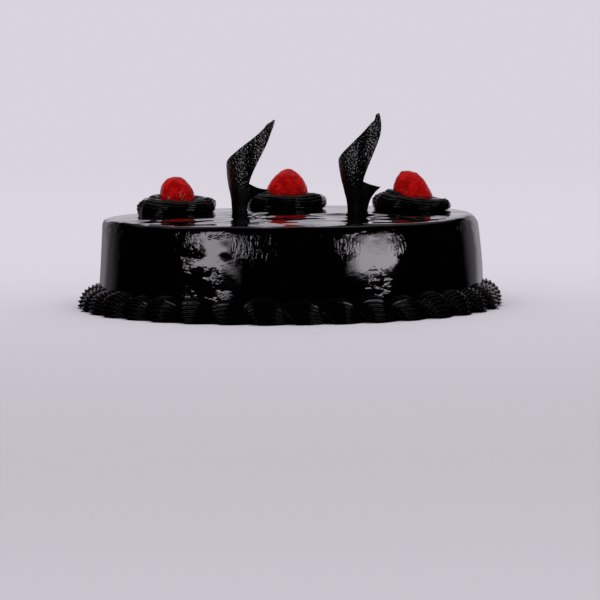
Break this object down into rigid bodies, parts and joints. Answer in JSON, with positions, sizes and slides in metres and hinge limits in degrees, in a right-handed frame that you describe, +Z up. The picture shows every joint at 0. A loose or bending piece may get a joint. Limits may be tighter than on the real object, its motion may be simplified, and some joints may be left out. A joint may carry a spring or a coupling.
{
  "type": "chocolate cake",
  "caption": "Round uncut chocolate cake with a mirror glaze, a piped shell border and, on top, cherries in piped nests and rolled chocolate sails; set on a table and served.",
  "frame": {"origin": "on the surface the cake stands on, under the middle of the whole cake", "axes": "+Z up; the cake is seen from -Y, with +X to the right"},
  "size_m": [0.2296, 0.228, 0.1036],
  "materials": {
    "chocolate_glaze": "mirror-like dark chocolate glaze, faintly rippled",
    "piped_ganache": "satin piped dark ganache",
    "chocolate_sheet": "dark chocolate sheet with a fine bubbly grain",
    "candied_cherry": "wet, slightly translucent red fruit"
  },
  "bodies": {
    "root": {"cake_body": "chocolate_glaze", "shell_border": "piped_ganache", "nest_left": "piped_ganache", "nest_middle": "piped_ganache", "nest_right": "piped_ganache", "cherry_left": "candied_cherry", "cherry_middle": "candied_cherry", "cherry_right": "candied_cherry", "sail_left": "chocolate_sheet", "sail_right": "chocolate_sheet"}
  },
  "joints": []
}
